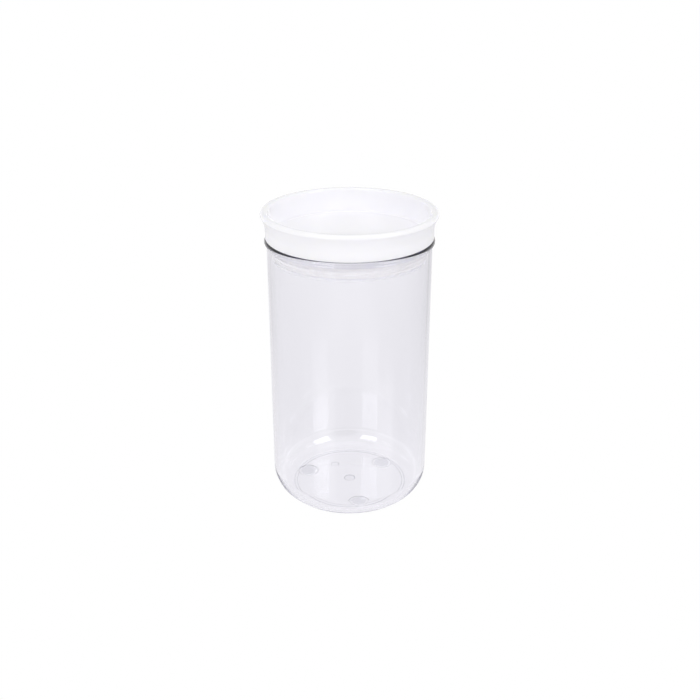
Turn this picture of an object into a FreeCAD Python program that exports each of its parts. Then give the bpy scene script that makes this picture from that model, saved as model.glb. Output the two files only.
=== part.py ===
"""Round food canister: a clear jar with a beaded lip, a push-in lid with a flared rim and a stacking
dish, a finned seal ring in the lid's groove, and three soft feet in wells under the base.

Millimetres, +Z up. The origin is on the surface that the canister stands on, on its axis.
"""

import FreeCAD, Part
import math
import os

import Sketcher

# Driving dimensions: every size that can be set by itself, once.
DIMENSIONS = {
    # jar
    "body_diameter": 100.0,
    "jar_height": 171.2,
    "wall": 2.2,
    "floor_thickness": 2.5,
    "base_side_radius": 16.7,
    "base_bottom_radius": 8.6,
    "inner_side_radius": 14.5,
    "inner_bottom_radius": 6.4,
    "corner_blend_angle": 50.0,
    "standing_ring_inset": 1.6,
    "standing_ring_width": 1.7,
    "standing_ring_height": 0.35,
    "lip_overhang": 1.4,
    "lip_bead_height": 1.7,
    "lip_land": 1.8,
    "lip_round": 1.75,
    "mouth_lead_width": 1.0,
    "mouth_lead_height": 1.2,
    "gate_mark_diameter": 7.0,
    "gate_mark_depth": 0.4,
    "date_mark_diameter": 5.6,
    "date_mark_depth": 0.2,
    "date_mark_offset": 20.3,
    "date_mark_angle": 119.8,
    # feet and the wells that hold them
    "foot_diameter": 10.2,
    "foot_protrusion": 0.4,
    "foot_well_depth": 0.35,
    "foot_well_margin": 1.6,
    "foot_well_gap": 0.4,
    "foot_fit_gap": 0.05,
    "foot_round": 0.4,
    "first_foot_angle": 41.3,
    # lid
    "lid_height": 16.5,
    "rim_overhang": 3.4,
    "rim_width": 4.4,
    "rim_round": 1.9,
    "rim_land": 0.4,
    "skirt_inset": 0.55,
    "skirt_wall": 3.0,
    "skirt_straight": 5.6,
    "skirt_round": 0.8,
    "dish_floor_rise": 1.6,
    "dish_fillet": 1.5,
    "lid_floor": 2.0,
    "plug_depth": 12.0,
    "plug_clearance": 1.4,
    "plug_wall": 1.6,
    "plug_round": 1.5,
    "flange_clearance": 0.9,
    "flange_thickness": 1.5,
    "flange_round": 0.4,
    # seal ring
    "seal_groove_depth": 1.2,
    "seal_height": 5.6,
    "seal_fit_gap": 0.05,
    "seal_clearance": 0.3,
    "seal_fin_pitch": 2.3,
    "seal_fin_root": 1.5,
    "seal_fin_tip": 0.5,
}
FOOT_NAMES = ("foot_right", "foot_left", "foot_front")
FOOT_COUNT = len(FOOT_NAMES)
EDGE_TOLERANCE = 1e-4
# Two rounds on one wall together take at most this share of it each.
ROUND_LIMIT = 0.45

# Heights, as expressions of the sheet. The base is the bottom of the standing ring, the underside is the
# level of the base inside and outside it, and the seat is the top of the lip, where the lid rests.
BASE = "dims.foot_protrusion"
UNDERSIDE = f"({BASE} + dims.standing_ring_height)"
FLOOR = f"({UNDERSIDE} + dims.floor_thickness)"
WELL_TOP = f"({UNDERSIDE} + dims.foot_well_depth)"
BLEND_COS = "cos(dims.corner_blend_angle * 1 deg)"
BLEND_SIN = "sin(dims.corner_blend_angle * 1 deg)"
BASE_SPREAD = "(dims.base_side_radius - dims.base_bottom_radius)"
BASE_BLEND = f"({UNDERSIDE} + dims.base_bottom_radius * (1 - {BLEND_SIN}))"
CORNER = f"({UNDERSIDE} + dims.base_bottom_radius + {BASE_SPREAD} * {BLEND_SIN})"
INNER_SPREAD = "(dims.inner_side_radius - dims.inner_bottom_radius)"
INNER_BLEND = f"({FLOOR} + dims.inner_bottom_radius * (1 - {BLEND_SIN}))"
INNER_CORNER = f"({FLOOR} + dims.inner_bottom_radius + {INNER_SPREAD} * {BLEND_SIN})"
SEAT = f"({BASE} + dims.jar_height)"
LEAD_FOOT = f"({SEAT} - dims.mouth_lead_height)"
LIP_LAND = f"({SEAT} - dims.lip_land)"
LIP_FOOT = f"({LIP_LAND} - dims.lip_bead_height)"
RIM = f"({SEAT} + dims.lid_height)"
RIM_ROUND = f"min(dims.rim_round; {ROUND_LIMIT} * dims.rim_width)"
RIM_EDGE = f"({RIM} - {RIM_ROUND} - dims.rim_land)"
DISH = f"({SEAT} + dims.dish_floor_rise)"
HOLLOW = f"({DISH} - dims.lid_floor)"
SKIRT_TOP = f"({SEAT} + dims.skirt_straight)"
PLUG_END = f"({SEAT} - dims.plug_depth)"
GROOVE_LOW = f"({PLUG_END} + dims.flange_thickness)"
GROOVE_HIGH = f"({GROOVE_LOW} + dims.seal_height + 2 * dims.seal_fit_gap)"

# Radii, as expressions of the sheet.
BODY_R = "dims.body_diameter / 2"
BORE_R = f"({BODY_R} - dims.wall)"
LIP_R = f"({BODY_R} + dims.lip_overhang)"
LEAD_R = f"({BORE_R} + dims.mouth_lead_width)"
BASE_R = f"({BODY_R} - dims.base_side_radius + {BASE_SPREAD} * {BLEND_COS})"
BASE_BLEND_R = f"({BASE_R} + dims.base_bottom_radius * {BLEND_COS})"
RING_R = f"({BASE_R} - dims.standing_ring_inset)"
RING_INNER_R = f"({RING_R} - dims.standing_ring_width)"
FLOOR_R = f"({BORE_R} - dims.inner_side_radius + {INNER_SPREAD} * {BLEND_COS})"
INNER_BLEND_R = f"({FLOOR_R} + dims.inner_bottom_radius * {BLEND_COS})"
GATE_R = "dims.gate_mark_diameter / 2"
FOOT_R = "dims.foot_diameter / 2"
WELL_R = f"({FOOT_R} + dims.foot_well_margin)"
FOOT_CIRCLE_R = f"({RING_R} - dims.foot_well_gap - {WELL_R})"
PLUG_R = f"({BORE_R} - dims.plug_clearance)"
FLANGE_R = f"({BORE_R} - dims.flange_clearance)"
GROOVE_R = f"({PLUG_R} - dims.seal_groove_depth)"
HOLLOW_R = f"({GROOVE_R} - dims.plug_wall)"
SKIRT_R = f"({LIP_R} - dims.skirt_inset)"
DISH_R = f"({SKIRT_R} - dims.skirt_wall)"
RIM_R = f"({BODY_R} + dims.rim_overhang)"
RIM_INNER_R = f"({RIM_R} - dims.rim_width)"
SEAL_INNER_R = f"({GROOVE_R} + dims.seal_fit_gap)"
SEAL_TIP_R = f"({BORE_R} - dims.seal_clearance)"


def add_dimensions(doc):
    """The sheet of driving dimensions, one named cell each."""
    sheet = doc.addObject("Spreadsheet::Sheet", "dims")
    for row, (alias, size) in enumerate(DIMENSIONS.items(), start=1):
        sheet.set(f"A{row}", alias)
        sheet.set(f"B{row}", str(size))
        sheet.setAlias(f"B{row}", alias)
    doc.recompute()
    return sheet


def value(sheet, expression):
    """What an expression of the sheet comes to, as a plain number."""
    found = sheet.evalExpression(expression)
    return float(getattr(found, "Value", found))


def new_body(doc, label):
    """An empty body under the name its file gets."""
    body = doc.addObject("PartDesign::Body", label)
    body.Label = label
    return body


def origin_feature(body, role):
    """One of the body's own origin planes or axes."""
    return next(f for f in body.Origin.OriginFeatures if f.Role == role)


def new_sketch(body, name, role):
    """A sketch on one of the body's origin planes."""
    sketch = body.newObject("Sketcher::SketchObject", name)
    sketch.AttachmentSupport = [(origin_feature(body, role), "")]
    sketch.MapMode = "FlatFace"
    return sketch


def bind(sketch, kind, geometry, expression, sheet):
    """Adds a dimension to a sketch and ties it to the sheet."""
    index = sketch.addConstraint(Sketcher.Constraint(kind, *geometry, value(sheet, expression)))
    sketch.setExpression(f"Constraints[{index}]", expression)


def pin_point(sketch, geometry, at, sheet):
    """Ties a sketch point to a radius and a height. A plain 0 puts it on that axis."""
    for kind, axis, expression in (("DistanceX", -2, at[0]), ("DistanceY", -1, at[1])):
        if expression == "0":
            sketch.addConstraint(Sketcher.Constraint("PointOnObject", *geometry, axis))
        else:
            bind(sketch, kind, (-1, 1, *geometry), expression, sheet)


def arc_between(start, end, radius, turn):
    """The minor arc from start to end. Turn is 1 where it runs anticlockwise, -1 where clockwise."""
    chord = end - start
    normal = FreeCAD.Vector(-chord.y, chord.x, 0).normalize()
    reach = math.sqrt(radius**2 - (chord.Length / 2) ** 2)
    centre = (start + end) * 0.5 + normal * (turn * reach)
    first, last = (start, end) if turn > 0 else (end, start)
    angles = [math.atan2(p.y - centre.y, p.x - centre.x) for p in (first, last)]
    return Part.ArcOfCircle(Part.Circle(centre, FreeCAD.Vector(0, 0, 1), radius), *angles)


def draw_outline(sketch, outline, sheet):
    """Draws a closed outline of (radius, height) corners. A third item bends the side that follows the
    corner: its radius, with a minus sign in front where the side runs clockwise."""
    corners = [FreeCAD.Vector(value(sheet, c[0]), value(sheet, c[1]), 0) for c in outline]
    ends = []
    for i, corner in enumerate(outline):
        start, end = corners[i], corners[(i + 1) % len(corners)]
        if len(corner) == 2:
            side = sketch.addGeometry(Part.LineSegment(start, end))
            ends.append(((side, 1), (side, 2)))
            continue
        turn = -1 if corner[2].startswith("-") else 1
        radius = corner[2].lstrip("-")
        side = sketch.addGeometry(arc_between(start, end, value(sheet, radius), turn))
        ends.append(((side, 1), (side, 2)) if turn > 0 else ((side, 2), (side, 1)))
        bind(sketch, "Radius", (side,), radius, sheet)
    for i, corner in enumerate(outline):
        sketch.addConstraint(Sketcher.Constraint("Coincident", *ends[i - 1][1], *ends[i][0]))
        pin_point(sketch, ends[i][0], corner, sheet)


def revolve(body, outline, sheet):
    """Turns an outline about the body's own Z axis."""
    sketch = new_sketch(body, f"{body.Label}_outline", "XZ_Plane")
    draw_outline(sketch, outline, sheet)
    turned = body.newObject("PartDesign::Revolution", f"{body.Label}_turned")
    turned.Profile = sketch
    turned.ReferenceAxis = (sketch, ["V_Axis"])
    turned.Angle = 360.0
    body.Document.recompute()
    return turned


def round_edges(body, name, radius, rings, sheet):
    """Rounds every circular edge of the given (radius, height) pairs, about whichever upright axis."""
    base = body.Tip
    wanted = [(value(sheet, r), value(sheet, z)) for r, z in rings]
    edges = []
    for i, edge in enumerate(base.Shape.Edges, start=1):
        if not isinstance(edge.Curve, Part.Circle):
            continue
        ring = (edge.Curve.Radius, edge.Curve.Center.z)
        if any(math.dist(ring, w) < EDGE_TOLERANCE for w in wanted):
            edges.append(f"Edge{i}")
    if not edges:
        raise RuntimeError(f"{body.Label} has no edge to round for {name}")
    rounded = body.newObject("PartDesign::Fillet", f"{body.Label}_{name}")
    rounded.Base = (base, edges)
    rounded.setExpression("Radius", radius)
    body.Document.recompute()


def circle_sketch(body, name, place, radius, height, sheet):
    """A circle on a level plane. Place is (distance from the axis, angle in degrees)."""
    sketch = new_sketch(body, name, "XY_Plane")
    sketch.setExpression("AttachmentOffset.Base.z", height)
    along = f"{place[0]} * cos({place[1]} * 1 deg)"
    across = f"{place[0]} * sin({place[1]} * 1 deg)"
    centre = FreeCAD.Vector(value(sheet, along), value(sheet, across), 0)
    circle = Part.Circle(centre, FreeCAD.Vector(0, 0, 1), value(sheet, radius))
    ring = sketch.addGeometry(circle)
    bind(sketch, "Radius", (ring,), radius, sheet)
    pin_point(sketch, (ring, 3), (along, across), sheet)
    return sketch


def pocket_up(body, sketch, length):
    """Cuts upwards from a level sketch, and checks that the cut met the solid."""
    before = body.Tip.Shape.Volume
    pocket = body.newObject("PartDesign::Pocket", f"{sketch.Label}_pocket")
    pocket.Profile = sketch
    pocket.Reversed = True
    pocket.setExpression("Length", length)
    body.Document.recompute()
    if pocket.Shape.Volume >= before:
        raise RuntimeError(f"{pocket.Label} cuts nothing")
    return pocket


def pattern_round(body, features, count):
    """Repeats features evenly about the body's Z axis."""
    pattern = body.newObject("PartDesign::PolarPattern", f"{body.Label}_round")
    pattern.Originals = features
    pattern.Axis = (origin_feature(body, "Z_Axis"), [""])
    pattern.Angle = 360.0
    pattern.Occurrences = count
    body.Tip = pattern
    body.Document.recompute()


def make_jar(doc, sheet):
    """Clear jar: straight wall, large two-radius base corner, low standing ring, foot wells, beaded lip."""
    body = new_body(doc, "jar")
    bead_radius = "(dims.lip_bead_height ^ 2 + dims.lip_overhang ^ 2) / (2 * dims.lip_overhang)"
    gate = f"({UNDERSIDE} + dims.gate_mark_depth)"
    outline = [
        ("0", gate),
        (GATE_R, gate),
        (GATE_R, UNDERSIDE),
        (RING_INNER_R, UNDERSIDE),
        (RING_INNER_R, BASE),
        (RING_R, BASE),
        (RING_R, UNDERSIDE),
        (BASE_R, UNDERSIDE, "dims.base_bottom_radius"),
        (BASE_BLEND_R, BASE_BLEND, "dims.base_side_radius"),
        (BODY_R, CORNER),
        (BODY_R, LIP_FOOT, bead_radius),
        (LIP_R, LIP_LAND),
        (LIP_R, SEAT),
        (LEAD_R, SEAT),
        (BORE_R, LEAD_FOOT),
        (BORE_R, INNER_CORNER, "-dims.inner_side_radius"),
        (INNER_BLEND_R, INNER_BLEND, "-dims.inner_bottom_radius"),
        (FLOOR_R, FLOOR),
        ("0", FLOOR),
    ]
    revolve(body, outline, sheet)
    round_edges(body, "lip_round", "dims.lip_round", [(LIP_R, SEAT)], sheet)
    date_place = ("dims.date_mark_offset", "dims.date_mark_angle")
    date_r = "dims.date_mark_diameter / 2"
    date = circle_sketch(body, "date_mark", date_place, date_r, UNDERSIDE, sheet)
    pocket_up(body, date, "dims.date_mark_depth")
    foot_place = (FOOT_CIRCLE_R, "dims.first_foot_angle")
    well = circle_sketch(body, "foot_well", foot_place, WELL_R, BASE, sheet)
    pocket = pocket_up(body, well, f"({WELL_TOP} - {BASE})")
    pattern_round(body, [pocket], FOOT_COUNT)
    return body


def make_lid(doc, sheet):
    """Push-in lid: skirt that sits on the jar's lip, flared rim, stacking dish and a grooved plug."""
    body = new_body(doc, "lid")
    flare_out = f"({RIM_R} - {SKIRT_R})"
    flare_up = f"({RIM_EDGE} - {SKIRT_TOP})"
    flare_radius = f"({flare_up} ^ 2 + {flare_out} ^ 2) / (2 * {flare_out})"
    outline = [
        ("0", HOLLOW),
        (HOLLOW_R, HOLLOW),
        (HOLLOW_R, PLUG_END),
        (FLANGE_R, PLUG_END),
        (FLANGE_R, GROOVE_LOW),
        (GROOVE_R, GROOVE_LOW),
        (GROOVE_R, GROOVE_HIGH),
        (PLUG_R, GROOVE_HIGH),
        (PLUG_R, SEAT),
        (SKIRT_R, SEAT),
        (SKIRT_R, SKIRT_TOP, f"-{flare_radius}"),
        (RIM_R, RIM_EDGE),
        (RIM_R, RIM),
        (RIM_INNER_R, RIM),
        (DISH_R, DISH),
        ("0", DISH),
    ]
    revolve(body, outline, sheet)
    rim_edges = [(RIM_R, RIM), (RIM_INNER_R, RIM)]
    round_edges(body, "rim_round", RIM_ROUND, rim_edges, sheet)
    round_edges(body, "dish_fillet", "dims.dish_fillet", [(DISH_R, DISH)], sheet)
    round_edges(body, "plug_round", "dims.plug_round", [(HOLLOW_R, HOLLOW)], sheet)
    flange_edges = [(FLANGE_R, PLUG_END), (FLANGE_R, GROOVE_LOW), (HOLLOW_R, PLUG_END)]
    round_edges(body, "flange_round", "dims.flange_round", flange_edges, sheet)
    round_edges(body, "skirt_round", "dims.skirt_round", [(SKIRT_R, SEAT)], sheet)
    return body


def make_seal_ring(doc, sheet):
    """Seal ring: a band that fills the lid's groove, with two fins that reach towards the jar's bore."""
    body = new_body(doc, "seal_ring")
    low = f"({GROOVE_LOW} + dims.seal_fit_gap)"
    high = f"({low} + dims.seal_height)"
    middle = f"({low} + dims.seal_height / 2)"
    half_root = "dims.seal_fin_root / 2"
    half_tip = "dims.seal_fin_tip / 2"
    outline = [(SEAL_INNER_R, low), (PLUG_R, low)]
    for side in ("-", "+"):
        fin = f"({middle} {side} dims.seal_fin_pitch / 2)"
        outline += [
            (PLUG_R, f"({fin} - {half_root})"),
            (SEAL_TIP_R, f"({fin} - {half_tip})"),
            (SEAL_TIP_R, f"({fin} + {half_tip})"),
            (PLUG_R, f"({fin} + {half_root})"),
        ]
    outline += [(PLUG_R, high), (SEAL_INNER_R, high)]
    revolve(body, outline, sheet)
    return body


def make_foot(doc, sheet, label, index):
    """Foot: a soft disc, rounded where it meets the table, held in its well under the base."""
    body = new_body(doc, label)
    top = f"({WELL_TOP} - dims.foot_fit_gap)"
    revolve(body, [("0", "0"), (FOOT_R, "0"), (FOOT_R, top), ("0", top)], sheet)
    round_edges(body, "edge", "dims.foot_round", [(FOOT_R, "0")], sheet)
    angle = f"((dims.first_foot_angle + {index} * 360 / {FOOT_COUNT}) * 1 deg)"
    body.setExpression("Placement.Base.x", f"{FOOT_CIRCLE_R} * cos{angle}")
    body.setExpression("Placement.Base.y", f"{FOOT_CIRCLE_R} * sin{angle}")
    return body


def check(doc, bodies):
    """Stops the build if any object failed or a piece isn't one valid solid."""
    for obj in doc.Objects:
        if "Invalid" in obj.State or "Error" in obj.State:
            raise RuntimeError(f"{obj.Label} failed: {obj.State}")
    for body in bodies:
        shape = body.Shape
        if shape.isNull() or not shape.isValid() or len(shape.Solids) != 1:
            raise RuntimeError(f"{body.Label} isn't one valid solid")


def main():
    """Builds every piece and writes each to its own file."""
    doc = FreeCAD.newDocument("canister")
    sheet = add_dimensions(doc)
    bodies = [make_jar(doc, sheet), make_lid(doc, sheet), make_seal_ring(doc, sheet)]
    bodies += [make_foot(doc, sheet, label, i) for i, label in enumerate(FOOT_NAMES)]
    doc.recompute()
    check(doc, bodies)
    os.makedirs("parts", exist_ok=True)
    for body in bodies:
        body.Shape.exportStep(f"parts/{body.Label}.step")
        box = body.Shape.optimalBoundingBox()
        print(f"{body.Label}: {body.Shape.Volume / 1000:.2f} cm3, z {box.ZMin:.2f} to {box.ZMax:.2f}")


main()
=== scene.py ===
import logging
import math
from dataclasses import dataclass, field
from enum import Enum
from typing import Any

import bmesh
import bpy
from mathutils import Matrix, Vector


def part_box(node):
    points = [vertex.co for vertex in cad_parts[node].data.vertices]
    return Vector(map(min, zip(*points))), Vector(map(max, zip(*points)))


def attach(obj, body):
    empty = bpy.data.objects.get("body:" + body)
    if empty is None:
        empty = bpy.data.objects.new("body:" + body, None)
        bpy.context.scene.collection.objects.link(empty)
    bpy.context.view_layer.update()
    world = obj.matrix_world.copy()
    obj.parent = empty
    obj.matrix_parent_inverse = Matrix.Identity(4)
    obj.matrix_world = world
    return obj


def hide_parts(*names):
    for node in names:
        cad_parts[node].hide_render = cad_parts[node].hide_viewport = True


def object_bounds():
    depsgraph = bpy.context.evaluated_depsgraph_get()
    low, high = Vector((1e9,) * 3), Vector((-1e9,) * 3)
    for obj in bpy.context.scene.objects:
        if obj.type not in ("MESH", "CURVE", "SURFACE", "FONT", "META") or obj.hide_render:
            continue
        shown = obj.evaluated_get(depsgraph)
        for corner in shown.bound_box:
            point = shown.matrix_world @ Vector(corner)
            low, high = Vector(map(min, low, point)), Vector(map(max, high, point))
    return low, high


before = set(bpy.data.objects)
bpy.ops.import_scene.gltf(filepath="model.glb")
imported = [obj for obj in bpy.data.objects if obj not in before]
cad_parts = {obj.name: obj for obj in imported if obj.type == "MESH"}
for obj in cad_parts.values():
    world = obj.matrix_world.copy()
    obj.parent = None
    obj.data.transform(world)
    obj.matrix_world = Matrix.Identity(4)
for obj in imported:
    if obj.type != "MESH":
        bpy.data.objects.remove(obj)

# Round food canister: a clear jar, a white push-in lid with its seal ring, and three soft feet.
# Metres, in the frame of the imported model: +Z up, origin on the table under the canister's axis.

logging.basicConfig(level=logging.INFO, format="%(message)s")
log = logging.getLogger("canister")

MM = 0.001
CAD_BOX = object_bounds()
# Pixels along each side of the photo.
PHOTO_SIDE = 700

# How finely turned pieces are divided: steps of a turn, and how far a round's chords may leave its arc.
TURN_STEPS = 256
ARC_SAG = 0.003 * MM
LEAST_SEGMENTS = 3
# A bevel with this profile follows a circle.
ROUND_PROFILE = 0.5
# Straight sides that are long enough get a point this close to each end.
SUPPORT_WIDTH = 0.25 * MM
LONG_SIDE = 4 * SUPPORT_WIDTH
# Edges bent by more than this stay sharp when shaded.
SHARP_ANGLE = math.radians(35)
MERGE_DISTANCE = 0.002 * MM
# Faces count as level where their normal's Z reaches this.
LEVEL_SHARE = 0.99999
# A round that ends at the next corner leaves that corner room for its own.
ARC_SHARE = 0.97
# Settings of a node that start with this are values of its input sockets.
SOCKET_MARK = "in:"


class Body(Enum):
    """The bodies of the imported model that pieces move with."""

    JAR = "jar"
    LID = "lid"


def linear(colour: str) -> tuple[float, float, float, float]:
    """Turns an sRGB hex colour to linear light.

    Args:
        colour: The colour, such as "#F4F4F8".

    Returns:
        Red, green, blue and an alpha of 1.
    """
    shares = [int(colour[i : i + 2], 16) / 255 for i in (1, 3, 5)]
    red, green, blue = (c / 12.92 if c <= 0.04045 else ((c + 0.055) / 1.055) ** 2.4 for c in shares)
    return red, green, blue, 1.0


def add_node(tree: bpy.types.NodeTree, kind: str, settings: dict[str, Any], links: dict[Any, Any]) -> Any:
    """Adds a shader node with its settings and links.

    Args:
        tree: The node tree.
        kind: The node's type.
        settings: Values of the node's properties, or of input sockets where a name has the socket mark.
        links: Output sockets to join to the input sockets of that name or number.

    Returns:
        The new node.
    """
    node = tree.nodes.new(kind)
    for name, setting in settings.items():
        if name.startswith(SOCKET_MARK):
            node.inputs[name.removeprefix(SOCKET_MARK)].default_value = setting
        else:
            setattr(node, name, setting)
    for name, source in links.items():
        tree.links.new(source, node.inputs[name])
    return node


def new_material(name: str) -> tuple[bpy.types.Material, bpy.types.NodeTree, Any]:
    """Makes an empty node material.

    Args:
        name: The material's name.

    Returns:
        The material, its node tree and its output node.
    """
    material = bpy.data.materials.new(name)
    material.use_nodes = True
    tree = material.node_tree
    tree.nodes.clear()
    return material, tree, add_node(tree, "ShaderNodeOutputMaterial", {}, {})


@dataclass(frozen=True)
class Ramp:
    """A smooth change from one value to another.

    Attributes:
        start: Reading where the change starts.
        end: Reading where it ends.
        first: Value up to the start.
        last: Value from the end on.
    """

    start: float
    end: float
    first: float
    last: float

    def settings(self) -> dict[str, Any]:
        """Writes the ramp as settings of a Map Range node.

        Returns:
            The settings, for add_node.
        """
        return {
            "interpolation_type": "SMOOTHSTEP",
            "in:From Min": self.start,
            "in:From Max": self.end,
            "in:To Min": self.first,
            "in:To Max": self.last,
        }


def combine(tree: bpy.types.NodeTree, operation: str, ramps: list[tuple[Ramp, Any]]) -> Any:
    """Joins ramps into one value.

    Args:
        tree: The node tree.
        operation: What a Math node does with one ramp and the next.
        ramps: The ramps, each with the output that it reads.

    Returns:
        The output that holds the value.
    """
    total = None
    for ramp, source in ramps:
        node = add_node(tree, "ShaderNodeMapRange", ramp.settings(), {"Value": source})
        share = node.outputs["Result"]
        if total is None:
            total = share
        else:
            node = add_node(tree, "ShaderNodeMath", {"operation": operation}, {0: total, 1: share})
            total = node.outputs["Value"]
    return total


@dataclass(frozen=True)
class ClearPlastic:
    """Clear styrene plastic, polished by its mould.

    Its tint is too weak to see through one wall. It shows where light runs along inside the plastic, at
    the lip, the base corner and the upright outlines, which therefore look darker and violet.
    """

    tint: str = "#FEFEFF"
    absorb: str = "#B2AED2"
    density: float = 20.0
    ior: float = 1.57
    roughness: float = 0.01
    smudge_roughness: float = 0.035
    smudge_size: float = 22.0 * MM
    smudge_noise: tuple[float, float] = (0.45, 0.7)
    worn_roughness: float = 0.06
    frost_roughness: float = 0.2
    frost_edge: float = 0.3 * MM

    def build(self, frosted: list[tuple[Vector, float]], worn_height: float) -> bpy.types.Material:
        """Makes the material.

        Args:
            frosted: Centres and radii of the round marks that the mould leaves matt under the base.
            worn_height: Height up to which sliding over a table has scuffed the plastic.

        Returns:
            The material.
        """
        material, tree, out = new_material("clear_styrene_moulded")
        place = add_node(tree, "ShaderNodeTexCoord", {}, {}).outputs["Object"]
        height = add_node(tree, "ShaderNodeSeparateXYZ", {}, {"Vector": place}).outputs["Z"]
        # Handling leaves smudges about a thumb wide, seen only as a softer edge on what the wall mirrors.
        smudge = add_node(tree, "ShaderNodeTexNoise", {"in:Scale": 1 / self.smudge_size}, {"Vector": place})
        smudge_ramp = Ramp(*self.smudge_noise, self.roughness, self.smudge_roughness)
        # Sliding over a table has scuffed the lowest plastic.
        worn_ramp = Ramp(worn_height / 2, worn_height, self.worn_roughness, 0.0)
        ramps = [(smudge_ramp, smudge.outputs["Fac"]), (worn_ramp, height)]
        # The round marks under the base stay matt, so that they show as faint grey discs.
        for centre, radius in frosted:
            away = add_node(tree, "ShaderNodeVectorMath", {"operation": "DISTANCE"}, {0: place})
            away.inputs[1].default_value = centre
            frost_ramp = Ramp(radius - self.frost_edge, radius, self.frost_roughness, 0.0)
            ramps.append((frost_ramp, away.outputs["Value"]))
        shader = add_node(
            tree,
            "ShaderNodeBsdfPrincipled",
            {"in:Base Color": linear(self.tint), "in:IOR": self.ior, "in:Transmission Weight": 1.0},
            {"Roughness": combine(tree, "ADD", ramps)},
        )
        tree.links.new(shader.outputs["BSDF"], out.inputs["Surface"])
        volume = add_node(
            tree,
            "ShaderNodeVolumeAbsorption",
            {"in:Color": linear(self.absorb), "in:Density": self.density},
            {},
        )
        tree.links.new(volume.outputs["Volume"], out.inputs["Volume"])
        return material


@dataclass(frozen=True)
class WhitePlastic:
    """White polypropylene, moulded smooth and glossy.

    The plastic lets a little light through, so that its edges and thin walls stay bright and milky. Its
    gloss mirrors the softboxes faintly in the dish.
    """

    colour: str = "#F8F7FC"
    cloud_colour: str = "#F6F5FB"
    cloud_size: float = 14.0 * MM
    cloud_noise: tuple[float, float] = (0.4, 0.65)
    roughness: float = 0.03
    cloud_roughness: float = 0.06
    worn_roughness: float = 0.12
    worn_band: float = 1.5 * MM
    wear_size: float = 5.0 * MM
    grain_size: float = 0.8 * MM
    grain_depth: float = 0.003 * MM
    scatter: float = 0.6
    scatter_depth: float = 2.0 * MM
    scatter_reach: tuple[float, float, float] = (1.0, 1.0, 1.1)

    def build(self, top: float) -> bpy.types.Material:
        """Makes the material.

        Args:
            top: Height of the rim, which hands wear.

        Returns:
            The material.
        """
        material, tree, out = new_material("white_polypropylene_moulded")
        place = add_node(tree, "ShaderNodeTexCoord", {}, {}).outputs["Object"]
        height = add_node(tree, "ShaderNodeSeparateXYZ", {}, {"Vector": place}).outputs["Z"]
        # The melt sets unevenly, which leaves faint clouds in the colour and the gloss.
        cloud = add_node(tree, "ShaderNodeTexNoise", {"in:Scale": 1 / self.cloud_size}, {"Vector": place})
        tint = add_node(tree, "ShaderNodeMix", {"data_type": "RGBA"}, {0: cloud.outputs["Fac"]})
        colour_a, colour_b = (socket for socket in tint.inputs if socket.type == "RGBA")
        colour_a.default_value = linear(self.colour)
        colour_b.default_value = linear(self.cloud_colour)
        cloud_ramp = Ramp(*self.cloud_noise, self.roughness, self.cloud_roughness)
        rough = combine(tree, "ADD", [(cloud_ramp, cloud.outputs["Fac"])])
        # Hands dull the top of the rim in patches.
        rim_ramp = Ramp(top - self.worn_band, top, 0.0, self.worn_roughness)
        rim = add_node(tree, "ShaderNodeMapRange", rim_ramp.settings(), {"Value": height})
        patch = add_node(tree, "ShaderNodeTexNoise", {"in:Scale": 1 / self.wear_size}, {"Vector": place})
        worn = add_node(
            tree,
            "ShaderNodeMath",
            {"operation": "MULTIPLY_ADD"},
            {0: rim.outputs["Result"], 1: patch.outputs["Fac"], 2: rough},
        )
        # The mould's fine spark texture, a tenth of a millimetre, is drawn coarser so that it shows.
        grain = add_node(tree, "ShaderNodeTexNoise", {"in:Scale": 1 / self.grain_size}, {"Vector": place})
        bump = add_node(
            tree,
            "ShaderNodeBump",
            {"in:Distance": self.grain_depth},
            {"Height": grain.outputs["Fac"]},
        )
        shader = add_node(
            tree,
            "ShaderNodeBsdfPrincipled",
            {
                "in:Subsurface Weight": self.scatter,
                "in:Subsurface Radius": self.scatter_reach,
                "in:Subsurface Scale": self.scatter_depth,
            },
            {
                "Base Color": tint.outputs["Result"],
                "Roughness": worn.outputs["Value"],
                "Normal": bump.outputs["Normal"],
            },
        )
        tree.links.new(shader.outputs["BSDF"], out.inputs["Surface"])
        return material


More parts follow.
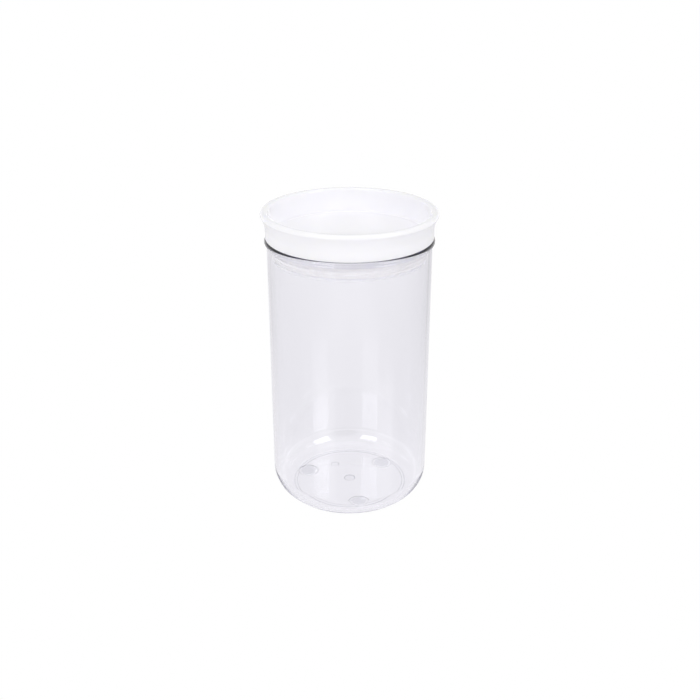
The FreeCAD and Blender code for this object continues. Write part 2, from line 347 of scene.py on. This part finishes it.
@dataclass(frozen=True)
class Rubber:
    """A moulded rubber with a satin grain and a bloom that clouds it."""

    name: str
    colour: str
    bloom_colour: str
    bloom_size: float
    roughness: float
    bloom_roughness: float
    grain_size: float
    grain_depth: float
    bloom_noise: tuple[float, float] = (0.35, 0.65)
    ior: float = 1.45
    transmission: float = 0.0

    def build(self) -> bpy.types.Material:
        """Makes the material.

        Returns:
            The material.
        """
        material, tree, out = new_material(self.name)
        place = add_node(tree, "ShaderNodeTexCoord", {}, {}).outputs["Object"]
        bloom = add_node(tree, "ShaderNodeTexNoise", {"in:Scale": 1 / self.bloom_size}, {"Vector": place})
        tint = add_node(tree, "ShaderNodeMix", {"data_type": "RGBA"}, {0: bloom.outputs["Fac"]})
        colour_a, colour_b = (socket for socket in tint.inputs if socket.type == "RGBA")
        colour_a.default_value = linear(self.colour)
        colour_b.default_value = linear(self.bloom_colour)
        bloom_ramp = Ramp(*self.bloom_noise, self.roughness, self.bloom_roughness)
        rough = combine(tree, "ADD", [(bloom_ramp, bloom.outputs["Fac"])])
        grain = add_node(tree, "ShaderNodeTexNoise", {"in:Scale": 1 / self.grain_size}, {"Vector": place})
        bump = add_node(
            tree,
            "ShaderNodeBump",
            {"in:Distance": self.grain_depth},
            {"Height": grain.outputs["Fac"]},
        )
        shader = add_node(
            tree,
            "ShaderNodeBsdfPrincipled",
            {"in:IOR": self.ior, "in:Transmission Weight": self.transmission},
            {
                "Base Color": tint.outputs["Result"],
                "Roughness": rough,
                "Normal": bump.outputs["Normal"],
            },
        )
        tree.links.new(shader.outputs["BSDF"], out.inputs["Surface"])
        return material


# Off-white silicone, all but white: satin, so that it mirrors less than the glossy lid beside it. Its
# grain is drawn coarser so that it shows.
SEAL_SILICONE = Rubber(
    name="silicone_rubber_off_white",
    colour="#FDFCFC",
    bloom_colour="#FAF9F9",
    bloom_size=6.0 * MM,
    roughness=0.42,
    bloom_roughness=0.58,
    grain_size=0.5 * MM,
    grain_depth=0.004 * MM,
)
# Milky soft elastomer: the table shows through each foot as a grey disc, with its detail blurred. Its
# grain is drawn coarser so that it shows.
FOOT_ELASTOMER = Rubber(
    name="elastomer_milky_clear",
    colour="#E8E8EC",
    bloom_colour="#E0E0E6",
    bloom_size=2.5 * MM,
    roughness=0.3,
    bloom_roughness=0.45,
    grain_size=0.4 * MM,
    grain_depth=0.004 * MM,
    transmission=1.0,
)


@dataclass(frozen=True)
class Corner:
    """A corner of a turned piece's outline.

    Attributes:
        radius: Distance from the axis.
        height: Distance along the axis.
        rounding: Radius of the round on this corner.
    """

    radius: float
    height: float
    rounding: float = 0.0

    def point(self) -> Vector:
        """The corner as a point in the XZ plane."""
        return Vector((self.radius, 0.0, self.height))


def bevel_corner(bm: bmesh.types.BMesh, vert: bmesh.types.BMVert, rounding: float) -> None:
    """Rounds one corner of an outline.

    Args:
        bm: The mesh that holds the outline.
        vert: The corner.
        rounding: Radius of the round.
    """
    arms = [edge.other_vert(vert).co - vert.co for edge in vert.link_edges]
    opening = arms[0].angle(arms[1])
    # A chord over a small angle leaves the arc by an eighth of the radius times the angle squared.
    step = math.sqrt(8 * ARC_SAG / rounding)
    bmesh.ops.bevel(
        bm,
        geom=[vert],
        offset=rounding / math.tan(opening / 2),
        offset_type="OFFSET",
        segments=max(LEAST_SEGMENTS, math.ceil((math.pi - opening) / step)),
        profile=ROUND_PROFILE,
        affect="VERTICES",
        material=-1,
    )


def support_sides(bm: bmesh.types.BMesh) -> None:
    """Adds a point close to both ends of each long straight side, so that flats stay flat when shaded.

    Args:
        bm: The mesh that holds the outline.
    """
    for edge in [e for e in bm.edges if e.calc_length() > LONG_SIDE]:
        first, last = edge.verts
        rest, _ = bmesh.utils.edge_split(edge, first, SUPPORT_WIDTH / edge.calc_length())
        longer = max((edge, rest), key=lambda e: e.calc_length())
        bmesh.utils.edge_split(longer, last, SUPPORT_WIDTH / longer.calc_length())


def turn(name: str, outline: list[Corner], closed: bool) -> bpy.types.Object:
    """Turns an outline about the Z axis.

    Args:
        name: The new object's name.
        outline: The outline's corners, in order.
        closed: True where the outline is a ring that keeps clear of the axis.

    Returns:
        The object, shaded smooth between its sharp edges.
    """
    bm = bmesh.new()
    verts = [bm.verts.new(corner.point()) for corner in outline]
    for first, last in zip(verts, verts[1:] + (verts[:1] if closed else [])):
        bm.edges.new((first, last))
    for vert, corner in zip(verts, outline):
        if corner.rounding:
            bevel_corner(bm, vert, corner.rounding)
    support_sides(bm)
    bmesh.ops.spin(
        bm,
        geom=bm.verts[:] + bm.edges[:],
        cent=(0, 0, 0),
        axis=(0, 0, 1),
        angle=math.tau,
        steps=TURN_STEPS,
        use_merge=True,
    )
    bmesh.ops.remove_doubles(bm, verts=bm.verts, dist=MERGE_DISTANCE)
    bmesh.ops.recalc_face_normals(bm, faces=bm.faces)
    return finish_mesh(name, bm)


def finish_mesh(name: str, bm: bmesh.types.BMesh) -> bpy.types.Object:
    """Makes an object of a mesh and frees the working copy.

    Args:
        name: The new object's name.
        bm: The working mesh.

    Returns:
        The object, at the origin.
    """
    mesh = bpy.data.meshes.new(name)
    bm.to_mesh(mesh)
    bm.free()
    mesh.shade_smooth()
    mesh.set_sharp_from_angle(angle=SHARP_ANGLE)
    obj = bpy.data.objects.new(name, mesh)
    bpy.context.scene.collection.objects.link(obj)
    return obj


def cut(target: bpy.types.Object, tools: list[bpy.types.Object]) -> None:
    """Cuts tools out of a piece in one go, and removes them.

    Args:
        target: The piece.
        tools: Closed solids that keep clear of each other.
    """
    joined = bmesh.new()
    for tool in tools:
        joined.from_mesh(tool.data)
        bpy.data.meshes.remove(tool.data)
    tool = finish_mesh("tool", joined)
    boolean = target.modifiers.new("cut", "BOOLEAN")
    boolean.operation = "DIFFERENCE"
    boolean.solver = "EXACT"
    boolean.object = tool
    graph = bpy.context.evaluated_depsgraph_get()
    mesh = bpy.data.meshes.new_from_object(target.evaluated_get(graph), depsgraph=graph)
    target.modifiers.remove(boolean)
    bpy.data.meshes.remove(tool.data)
    old = target.data
    name = old.name
    target.data = mesh
    bpy.data.meshes.remove(old)
    mesh.name = name
    mesh.shade_smooth()
    # A cut leaves level faces with many corners, which would bend their shading.
    for face in mesh.polygons:
        face.use_smooth = abs(face.normal.z) < LEVEL_SHARE
    mesh.set_sharp_from_angle(angle=SHARP_ANGLE)


def dress(
    obj: bpy.types.Object,
    material: bpy.types.Material,
    body: Body,
    nodes: list[str],
) -> None:
    """Gives a piece its material, body, nodes and slot.

    Args:
        obj: The piece.
        material: Its finish.
        body: The body that it moves with.
        nodes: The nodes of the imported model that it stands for.
    """
    obj.data.materials.clear()
    obj.data.materials.append(material)
    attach(obj, body.value)
    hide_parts(*nodes)
    log.info("%s: %d faces", obj.name, len(obj.data.polygons))


@dataclass
class Feet:
    """Three soft feet in wells under the jar's base."""

    names: tuple[str, ...] = ("foot_right", "foot_left", "foot_front")
    edge_round: float = 0.4 * MM

    def place(self, name: str) -> tuple[Vector, float, float]:
        """Finds where a foot is.

        Args:
            name: The foot's node.

        Returns:
            The centre of its bottom face, its radius and its height.
        """
        low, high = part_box(name)
        centre = (low + high) / 2
        return Vector((centre.x, centre.y, low.z)), (high.x - low.x) / 2, high.z - low.z

    def build(self) -> list[bpy.types.Object]:
        """Turns the feet and sets them in place.

        Returns:
            The feet, in the order of their names.
        """
        made = []
        for name in self.names:
            centre, radius, height = self.place(name)
            outline = [
                Corner(0.0, 0.0),
                Corner(radius, 0.0, self.edge_round),
                Corner(radius, height, self.edge_round / 2),
                Corner(0.0, height),
            ]
            foot = turn(f"{name}_soft", outline, closed=False)
            foot.data.transform(Matrix.Translation(centre))
            made.append(foot)
        return made

    def dress(self, pieces: list[bpy.types.Object]) -> None:
        """Gives the feet their finish.

        Args:
            pieces: The feet, in the order of their names.
        """
        material = FOOT_ELASTOMER.build()
        for piece, name in zip(pieces, self.names):
            dress(piece, material, Body.JAR, [name])


@dataclass
class Jar:
    """Clear jar with a large two-radius base corner, shallow wells for the feet and a beaded lip."""

    feet: Feet
    body_radius: float = 50.0 * MM
    wall: float = 2.2 * MM
    base: float = 0.4 * MM
    base_side: float = 16.7 * MM
    base_bottom: float = 8.6 * MM
    inner_side: float = 14.5 * MM
    inner_bottom: float = 6.4 * MM
    blend_angle: float = math.radians(50)
    ring_inset: float = 1.6 * MM
    ring_width: float = 1.7 * MM
    ring_height: float = 0.35 * MM
    floor_thickness: float = 2.5 * MM
    edge_round: float = 0.3 * MM
    lip_bead: float = 1.7 * MM
    lip_land: float = 1.8 * MM
    lip_round: float = 1.75 * MM
    lead_width: float = 1.0 * MM
    lead_height: float = 1.2 * MM
    gate_radius: float = 3.5 * MM
    gate_depth: float = 0.4 * MM
    date_radius: float = 2.8 * MM
    date_depth: float = 0.2 * MM
    date_offset: float = 20.3 * MM
    date_angle: float = math.radians(119.8)
    well_margin: float = 1.6 * MM
    well_depth: float = 0.35 * MM
    high: Vector = field(default_factory=lambda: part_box("jar")[1])

    def recess(self) -> float:
        """Height of the underside inside and outside the standing ring."""
        return self.base + self.ring_height

    def outline(self) -> list[Corner]:
        """Draws the jar's section.

        Returns:
            Its corners, from the axis under the base round to the axis above the floor.
        """
        seat, lip = self.high.z, self.high.x
        recess = self.recess()
        bore = self.body_radius - self.wall
        floor = recess + self.floor_thickness
        base_radius, outer_corner = self.two_radius(
            self.body_radius, recess, self.base_side, self.base_bottom
        )
        _, inner_corner = self.two_radius(bore, floor, self.inner_side, self.inner_bottom)
        ring = base_radius - self.ring_inset
        ring_round = self.ring_height / 3
        overhang = lip - self.body_radius
        bead = (self.lip_bead**2 + overhang**2) / (2 * overhang)
        bead_reach = bead * math.tan(math.asin(self.lip_bead / bead) / 2)
        land = seat - self.lip_land
        return [
            Corner(0.0, recess + self.gate_depth),
            Corner(self.gate_radius, recess + self.gate_depth, self.edge_round),
            Corner(self.gate_radius, recess, self.edge_round / 2),
            Corner(ring - self.ring_width, recess, ring_round),
            Corner(ring - self.ring_width, self.base, ring_round),
            Corner(ring, self.base, ring_round),
            Corner(ring, recess, ring_round),
            *outer_corner,
            Corner(self.body_radius, land - self.lip_bead, self.edge_round),
            Corner(lip, land - bead_reach, bead * ARC_SHARE),
            Corner(lip, seat, self.lip_round * ARC_SHARE),
            Corner(bore + self.lead_width, seat, self.edge_round / 2),
            Corner(bore, seat - self.lead_height, self.edge_round),
            *reversed(inner_corner),
            Corner(0.0, floor),
        ]

    def two_radius(self, wall: float, low: float, side: float, bottom: float) -> tuple[float, list[Corner]]:
        """Draws a corner that bends with one radius up to the blend and with another from there on.

        Args:
            wall: Distance of the upright side from the axis.
            low: Height of the level side.
            side: Radius of the part next to the upright side.
            bottom: Radius of the part next to the level side.

        Returns:
            Where the level side ends, and the two corners to round.
        """
        level_end = wall - side + (side - bottom) * math.cos(self.blend_angle)
        upright_end = low + bottom + (side - bottom) * math.sin(self.blend_angle)
        bottom_reach = bottom * math.tan((math.pi / 2 - self.blend_angle) / 2)
        side_reach = side * math.tan(self.blend_angle / 2)
        lower = Corner(level_end + bottom_reach, low, bottom * ARC_SHARE)
        return level_end, [lower, Corner(wall, upright_end - side_reach, side * ARC_SHARE)]

    def build(self) -> bpy.types.Object:
        """Turns the jar and cuts its wells and its round date mark.

        Returns:
            The jar.
        """
        jar = turn("jar_clear", self.outline(), closed=False)
        pegs = [self.peg(self.date_radius, self.recess() + self.date_depth, self.date_at())]
        for name in self.feet.names:
            centre, radius, _ = self.feet.place(name)
            pegs.append(self.peg(radius + self.well_margin, self.recess() + self.well_depth, centre))
        cut(jar, pegs)
        return jar

    def date_at(self) -> Vector:
        """Where the axis of the round date mark meets the table."""
        return Vector((math.cos(self.date_angle), math.sin(self.date_angle), 0.0)) * self.date_offset

    def peg(self, radius: float, top: float, at: Vector) -> bpy.types.Object:
        """Makes a round peg with a rounded top, from below the base upwards.

        Args:
            radius: Its radius.
            top: Height of its top.
            at: A point on its axis.

        Returns:
            The peg.
        """
        low = -self.base
        ends = [Corner(radius, low), Corner(radius, top, self.edge_round)]
        peg = turn("peg", [Corner(0.0, low), *ends, Corner(0.0, top)], closed=False)
        peg.data.transform(Matrix.Translation((at.x, at.y, 0.0)))
        return peg

    def dress(self, piece: bpy.types.Object) -> None:
        """Gives the jar its finish.

        Args:
            piece: The jar.
        """
        gate = (Vector((0.0, 0.0, self.recess())), self.gate_radius)
        date = (self.date_at() + Vector((0.0, 0.0, self.recess())), self.date_radius)
        material = ClearPlastic().build([gate, date], self.recess())
        dress(piece, material, Body.JAR, ["jar"])


@dataclass
class Lid:
    """White push-in lid: skirt, flared rim, dish and grooved plug."""

    jar: Jar
    skirt_inset: float = 0.55 * MM
    skirt_wall: float = 3.0 * MM
    skirt_straight: float = 5.6 * MM
    skirt_round: float = 0.8 * MM
    rim_width: float = 4.4 * MM
    rim_round: float = 1.9 * MM
    rim_land: float = 0.4 * MM
    dish_floor_rise: float = 1.6 * MM
    dish_fillet: float = 1.5 * MM
    floor: float = 2.0 * MM
    plug_clearance: float = 1.4 * MM
    plug_wall: float = 1.6 * MM
    plug_round: float = 1.5 * MM
    flange_clearance: float = 0.9 * MM
    groove_depth: float = 1.2 * MM
    small_round: float = 0.4 * MM
    fine_round: float = 0.2 * MM
    low: Vector = field(default_factory=lambda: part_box("lid")[0])
    high: Vector = field(default_factory=lambda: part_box("lid")[1])

    def plug_radius(self) -> float:
        """Outer radius of the plain plug wall."""
        return self.jar.body_radius - self.jar.wall - self.plug_clearance

    def dish_floor(self) -> float:
        """Height of the dish's floor."""
        return self.jar.high.z + self.dish_floor_rise

    def outline(self) -> list[Corner]:
        """Draws the lid's section.

        Returns:
            Its corners, from the axis under the floor round to the axis in the dish.
        """
        end, rim, outer = self.low.z, self.high.z, self.high.x
        seat = self.jar.high.z
        bore = self.jar.body_radius - self.jar.wall
        plug = self.plug_radius()
        groove = plug - self.groove_depth
        hollow = groove - self.plug_wall
        dish = self.dish_floor()
        inner_rim = outer - self.rim_width
        skirt = self.jar.high.x - self.skirt_inset
        seal_low, seal_high = (corner.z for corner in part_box("seal_ring"))
        rim_edge = rim - self.rim_round - self.rim_land
        flare_up = rim_edge - seat - self.skirt_straight
        flare_out = outer - skirt
        flare = (flare_up**2 + flare_out**2) / (2 * flare_out)
        flare_reach = flare * math.tan(math.asin(flare_up / flare) / 2)
        return [
            Corner(0.0, dish - self.floor),
            Corner(hollow, dish - self.floor, self.plug_round),
            Corner(hollow, end, self.small_round),
            Corner(bore - self.flange_clearance, end, self.small_round),
            Corner(bore - self.flange_clearance, seal_low, self.small_round),
            Corner(groove, seal_low),
            Corner(groove, seal_high),
            Corner(plug, seal_high, self.fine_round),
            Corner(plug, seat, self.fine_round),
            Corner(skirt, seat, self.skirt_round),
            Corner(skirt, seat + self.skirt_straight + flare_reach, flare * ARC_SHARE),
            Corner(outer, rim_edge, self.rim_land / 2),
            Corner(outer, rim, self.rim_round),
            Corner(inner_rim, rim, self.rim_round),
            Corner(skirt - self.skirt_wall, dish, self.dish_fillet),
            Corner(0.0, dish),
        ]

    def build(self) -> bpy.types.Object:
        """Turns the lid."""
        return turn("lid_white", self.outline(), closed=False)

    def dress(self, piece: bpy.types.Object) -> None:
        """Gives the lid its finish."""
        dress(piece, WhitePlastic().build(self.high.z), Body.LID, ["lid"])


@dataclass
class SealRing:
    """Soft ring in the lid's groove, with two fins towards the jar's bore."""

    lid: Lid
    fin_pitch: float = 2.3 * MM
    fin_root: float = 1.5 * MM
    fin_tip: float = 0.5 * MM
    root_round: float = 0.15 * MM
    tip_round: float = 0.12 * MM
    low: Vector = field(default_factory=lambda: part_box("seal_ring")[0])
    high: Vector = field(default_factory=lambda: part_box("seal_ring")[1])
    fit_gap: float = 0.05 * MM

    def outline(self) -> list[Corner]:
        """Draws the ring's section.

        Returns:
            Its corners, once round.
        """
        face = self.lid.plug_radius()
        inner = face - self.lid.groove_depth + self.fit_gap
        tip = self.high.x
        middle = (self.low.z + self.high.z) / 2
        corners = [Corner(inner, self.low.z), Corner(face, self.low.z, self.root_round)]
        for fin in (middle - self.fin_pitch / 2, middle + self.fin_pitch / 2):
            corners += [
                Corner(face, fin - self.fin_root / 2, self.root_round),
                Corner(tip, fin - self.fin_tip / 2, self.tip_round),
                Corner(tip, fin + self.fin_tip / 2, self.tip_round),
                Corner(face, fin + self.fin_root / 2, self.root_round),
            ]
        return corners + [Corner(face, self.high.z, self.root_round), Corner(inner, self.high.z)]

    def build(self) -> bpy.types.Object:
        """Turns the ring."""
        return turn("seal_ring_soft", self.outline(), closed=True)

    def dress(self, piece: bpy.types.Object) -> None:
        """Gives the ring its finish."""
        dress(piece, SEAL_SILICONE.build(), Body.LID, ["seal_ring"])


@dataclass
class Softbox:
    """A rectangular studio light that faces the canister.

    Attributes:
        name: Its name.
        azimuth: Direction from the canister, in degrees from the camera's side, positive to the right.
        elevation: Height of its centre above the table, in degrees.
        distance: From the canister's middle, in metres.
        size: Width and height, in metres.
        radiance: Brightness of its face, where 1 is the white of the picture.
    """

    name: str
    azimuth: float
    elevation: float
    distance: float
    size: tuple[float, float]
    radiance: float

    def build(self, aim: Vector) -> None:
        """Sets the light up.

        Args:
            aim: The point that it faces.
        """
        light = bpy.data.lights.new(self.name, "AREA")
        light.shape = "RECTANGLE"
        light.size, light.size_y = self.size
        light.energy = self.radiance * math.pi * self.size[0] * self.size[1]
        obj = bpy.data.objects.new(self.name, light)
        turned, raised = math.radians(self.azimuth), math.radians(self.elevation)
        level = math.cos(raised)
        back = Vector((math.sin(turned) * level, -math.cos(turned) * level, math.sin(raised)))
        obj.location = aim + back * self.distance
        obj.rotation_euler = back.to_track_quat("Z", "Y").to_euler()
        obj.visible_camera = False
        bpy.context.scene.collection.objects.link(obj)


@dataclass
class Studio:
    """Pale table under a soft sky, two softboxes in front and one overhead, on a plain white ground."""

    aim: Vector = field(default_factory=lambda: (CAD_BOX[0] + CAD_BOX[1]) / 2)
    table_radius: float = 14.0
    ground_radius: float = 3.0
    table_colour: str = "#303033"
    table_glow: str = "#E6E5E7"
    table_roughness: float = 0.12
    # How the table's glow changes, as painted light: a painted pool of light near the axis under the
    # canister, painted shade to the right and left, and painted light to the front.
    painted_pool_under_jar: Ramp = Ramp(45.0 * MM, 80.0 * MM, 1.11, 1.0)
    painted_shade_right: Ramp = Ramp(50.0 * MM, 300.0 * MM, 1.0, 0.72)
    painted_shade_left: Ramp = Ramp(-80.0 * MM, -250.0 * MM, 1.0, 0.82)
    painted_light_front: Ramp = Ramp(-35.0 * MM, -400.0 * MM, 1.0, 1.1)
    paper_colour: str = "#000000"
    paper_glow: str = "#FFFFFF"
    sky_colour: str = "#FFFFFF"
    # How the sky's glow changes: with the height looked at, and from 28 to 10 degrees off the dark way.
    sky_height: Ramp = Ramp(0.0, 0.42, 0.95, 0.66)
    dark_way: tuple[float, float, float] = (0.138, -0.981, 0.139)
    dark_patch: Ramp = Ramp(math.cos(math.radians(28)), math.cos(math.radians(10)), 1.0, 0.05)
    light_bounces: int = 128
    # The camera that fits the photo's outlines.
    sensor_width: float = 36.0
    focal_pixels: float = 953.1
    camera_at: tuple[float, float, float] = (0.00025, -0.5515, 0.3445)
    camera_pitch: float = math.radians(24.24)
    softboxes: tuple[Softbox, ...] = (
        Softbox("softbox_right", azimuth=51, elevation=25, distance=0.9, size=(0.42, 0.33), radiance=3.4),
        Softbox("softbox_left", azimuth=-34.5, elevation=25, distance=0.9, size=(0.4, 0.33), radiance=3.4),
        Softbox("softbox_top", azimuth=0, elevation=88, distance=1.2, size=(1.0, 1.0), radiance=0.85),
    )

    def build(self) -> None:
        """Builds the table, the ground, the lights, the sky and the camera."""
        table = turn("studio_table", [Corner(0.0, 0.0), Corner(self.table_radius, 0.0)], closed=False)
        table.data.materials.append(self.board())
        table.visible_camera = False
        drum = [
            Corner(0.0, 0.0),
            Corner(self.ground_radius, 0.0),
            Corner(self.ground_radius, self.ground_radius),
            Corner(0.0, self.ground_radius),
        ]
        ground = turn("studio_ground", drum, closed=False)
        ground.data.materials.append(self.paper())
        # The camera sees the ground in place of the table, and the canister mirrors only the table.
        for ray in ("diffuse", "glossy", "transmission", "volume_scatter", "shadow"):
            setattr(ground, f"visible_{ray}", False)
        for softbox in self.softboxes:
            softbox.build(self.aim)
        scene = bpy.context.scene
        scene.world = self.sky()
        scene.view_settings.view_transform = "Standard"
        # Light that bends through the jar many times keeps its sharp edges.
        scene.cycles.blur_glossy = 0.0
        scene.cycles.max_bounces = self.light_bounces
        scene.cycles.transmission_bounces = self.light_bounces
        scene.cycles.glossy_bounces = self.light_bounces
        self.place_camera(scene)

    def board(self) -> bpy.types.Material:
        """Makes a glossy board lit from behind, with a painted pool of light under the canister and painted
        shade dimming it to its sides.

        Returns:
            The material.
        """
        material, tree, out = new_material("studio_table_board")
        place = add_node(tree, "ShaderNodeTexCoord", {}, {}).outputs["Object"]
        split = add_node(tree, "ShaderNodeSeparateXYZ", {}, {"Vector": place})
        reach = add_node(tree, "ShaderNodeVectorMath", {"operation": "LENGTH"}, {"Vector": place})
        # These ramps paint a pool of light under the canister, shade to the right and left, and light to
        # the front.
        ramps = [
            (self.painted_pool_under_jar, reach.outputs["Value"]),
            (self.painted_shade_right, split.outputs["X"]),
            (self.painted_shade_left, split.outputs["X"]),
            (self.painted_light_front, split.outputs["Y"]),
        ]
        shader = add_node(
            tree,
            "ShaderNodeBsdfPrincipled",
            {
                "in:Base Color": linear(self.table_colour),
                "in:Roughness": self.table_roughness,
                "in:Emission Color": linear(self.table_glow),
            },
            {"Emission Strength": combine(tree, "MULTIPLY", ramps)},
        )
        tree.links.new(shader.outputs["BSDF"], out.inputs["Surface"])
        return material

    def paper(self) -> bpy.types.Material:
        """Makes matt white paper, lit from behind.

        Returns:
            The material.
        """
        material, tree, out = new_material("studio_white_paper")
        shader = add_node(
            tree,
            "ShaderNodeBsdfPrincipled",
            {
                "in:Base Color": linear(self.paper_colour),
                "in:Specular IOR Level": 0.0,
                "in:Emission Color": linear(self.paper_glow),
                "in:Emission Strength": 1.0,
            },
            {},
        )
        tree.links.new(shader.outputs["BSDF"], out.inputs["Surface"])
        return material

    def sky(self) -> bpy.types.World:
        """Makes a pale sky that fades towards the top and is darker behind the camera.

        Returns:
            The world.
        """
        world = bpy.data.worlds.new("studio_sky")
        world.use_nodes = True
        tree = world.node_tree
        way = add_node(tree, "ShaderNodeTexCoord", {}, {}).outputs["Generated"]
        height = add_node(tree, "ShaderNodeSeparateXYZ", {}, {"Vector": way}).outputs["Z"]
        nearness = add_node(tree, "ShaderNodeVectorMath", {"operation": "DOT_PRODUCT"}, {"Vector": way})
        nearness.inputs[1].default_value = self.dark_way
        ramps = [(self.sky_height, height), (self.dark_patch, nearness.outputs["Value"])]
        back = tree.nodes["Background"]
        back.inputs["Color"].default_value = linear(self.sky_colour)
        tree.links.new(combine(tree, "MULTIPLY", ramps), back.inputs["Strength"])
        return world

    def place_camera(self, scene: bpy.types.Scene) -> None:
        """Sets the camera where the photograph was taken from.

        Args:
            scene: The scene.
        """
        camera = bpy.data.objects.new("camera", bpy.data.cameras.new("camera"))
        camera.data.sensor_width = self.sensor_width
        camera.data.lens = self.focal_pixels * self.sensor_width / PHOTO_SIDE
        camera.location = self.camera_at
        camera.rotation_euler = (math.pi / 2 - self.camera_pitch, 0.0, 0.0)
        scene.collection.objects.link(camera)
        scene.camera = camera


def main() -> None:
    """Builds every piece in order, then the studio."""
    feet = Feet()
    jar = Jar(feet)
    lid = Lid(jar)
    for assembly in (feet, jar, lid, SealRing(lid)):
        assembly.dress(assembly.build())
    Studio().build()


if __name__ == "__main__":
    main()
